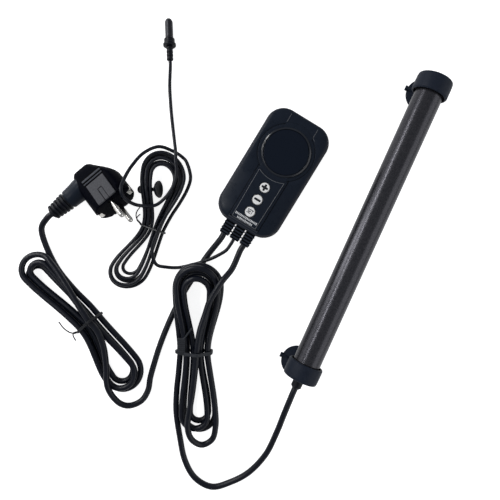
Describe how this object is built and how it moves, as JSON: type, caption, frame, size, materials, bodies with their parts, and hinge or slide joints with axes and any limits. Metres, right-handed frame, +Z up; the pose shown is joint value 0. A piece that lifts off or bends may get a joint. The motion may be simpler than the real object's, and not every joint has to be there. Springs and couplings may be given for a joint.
{
  "type": "submersible aquarium heater",
  "caption": "Submersible tube heater for an aquarium with suction cups, an outside thermostat with keys, a temperature probe and a mains plug on long cords.",
  "frame": {"origin": "on the surface that everything lies on, under the middle of the box round the heater and the thermostat, without the cords", "axes": "+Y along the heater tube towards its closed end, +Z up from the surface, +X across from the thermostat towards the heater"},
  "size_m": [0.2929, 0.4343, 0.041],
  "materials": {
    "coated_steel": "satin",
    "rubber": "matte",
    "housing": "satin",
    "lens": "gloss",
    "gloss": "gloss",
    "key": "satin",
    "board": "satin",
    "component": "satin",
    "relay": "satin",
    "metal": "polished",
    "ceramic": "matte",
    "wire": "satin",
    "cord": "satin"
  },
  "bodies": {
    "base": {"heater_tube": "coated_steel", "probe_capsule": "coated_steel", "tube_stopper": "rubber", "stopper_seal": "rubber", "housing_seal": "rubber", "mains_relief": "rubber", "sensor_relief": "rubber", "heater_relief": "rubber", "plug_boot": "rubber", "probe_relief": "rubber", "probe_collar": "rubber", "sensor_suction_cup": "rubber", "mains_tie": "rubber", "heater_tie": "rubber", "sensor_tie": "rubber", "front_shell": "housing", "rear_shell": "housing", "keypad_overlay": "housing", "plug_body": "housing", "display_lens": "lens", "lens_bezel": "gloss", "display_module": "gloss", "main_board": "board", "plus_switch": "component", "minus_switch": "component", "set_switch": "component", "display_holder": "component", "power_module": "component", "smoothing_capacitor": "component", "mains_relay": "relay", "housing_screw_1": "metal", "housing_screw_2": "metal", "housing_screw_3": "metal", "housing_screw_4": "metal", "plug_pin_upper": "metal", "plug_pin_lower": "metal", "earth_strip_upper": "metal", "earth_strip_lower": "metal", "thermal_cutout": "metal", "core_former": "ceramic", "lower_spacer": "ceramic", "upper_spacer": "ceramic", "fuse_holder": "ceramic", "heating_coil": "wire", "mains_lead": "cord", "mains_hank": "cord", "plug_lead": "cord", "heater_lead": "cord", "heater_hank": "cord", "heater_tail": "cord", "sensor_lead": "cord", "sensor_hank": "cord", "sensor_tail": "cord"},
    "top_collar": {"top_sleeve": "rubber"},
    "top_cup": {"top_suction_cup": "rubber"},
    "bottom_collar": {"bottom_sleeve": "rubber"},
    "bottom_cup": {"bottom_suction_cup": "rubber"},
    "plus_key": {"plus_button": "key"},
    "minus_key": {"minus_button": "key"},
    "set_key": {"set_button": "key"}
  },
  "joints": [
    {"name": "top_sleeve_turn", "type": "hinge", "parent": "base", "child": "top_collar", "pos_m": [0.058, 0.139, 0.025], "axis": [0, 1, 0], "continuous": true},
    {"name": "top_cup_swivel", "type": "hinge", "parent": "top_collar", "child": "top_cup", "pos_m": [0.05673, 0.139, 0.0071], "axis": [0, 0, 1], "continuous": true},
    {"name": "bottom_sleeve_turn", "type": "hinge", "parent": "base", "child": "bottom_collar", "pos_m": [0.058, -0.1348, 0.025], "axis": [0, 1, 0], "continuous": true},
    {"name": "bottom_cup_swivel", "type": "hinge", "parent": "bottom_collar", "child": "bottom_cup", "pos_m": [0.05329, -0.1348, 0.0071], "axis": [0, 0, 1], "continuous": true},
    {"name": "plus_press", "type": "slide", "parent": "base", "child": "plus_key", "axis": [0, 0, -1], "range_m": [0, 0.0006], "stiffness_N_per_m": 80, "springref_m": -0.0006},
    {"name": "minus_press", "type": "slide", "parent": "base", "child": "minus_key", "axis": [0, 0, -1], "range_m": [0, 0.0006], "stiffness_N_per_m": 80, "springref_m": -0.0006},
    {"name": "set_press", "type": "slide", "parent": "base", "child": "set_key", "axis": [0, 0, -1], "range_m": [0, 0.0006], "stiffness_N_per_m": 80, "springref_m": -0.0006}
  ]
}
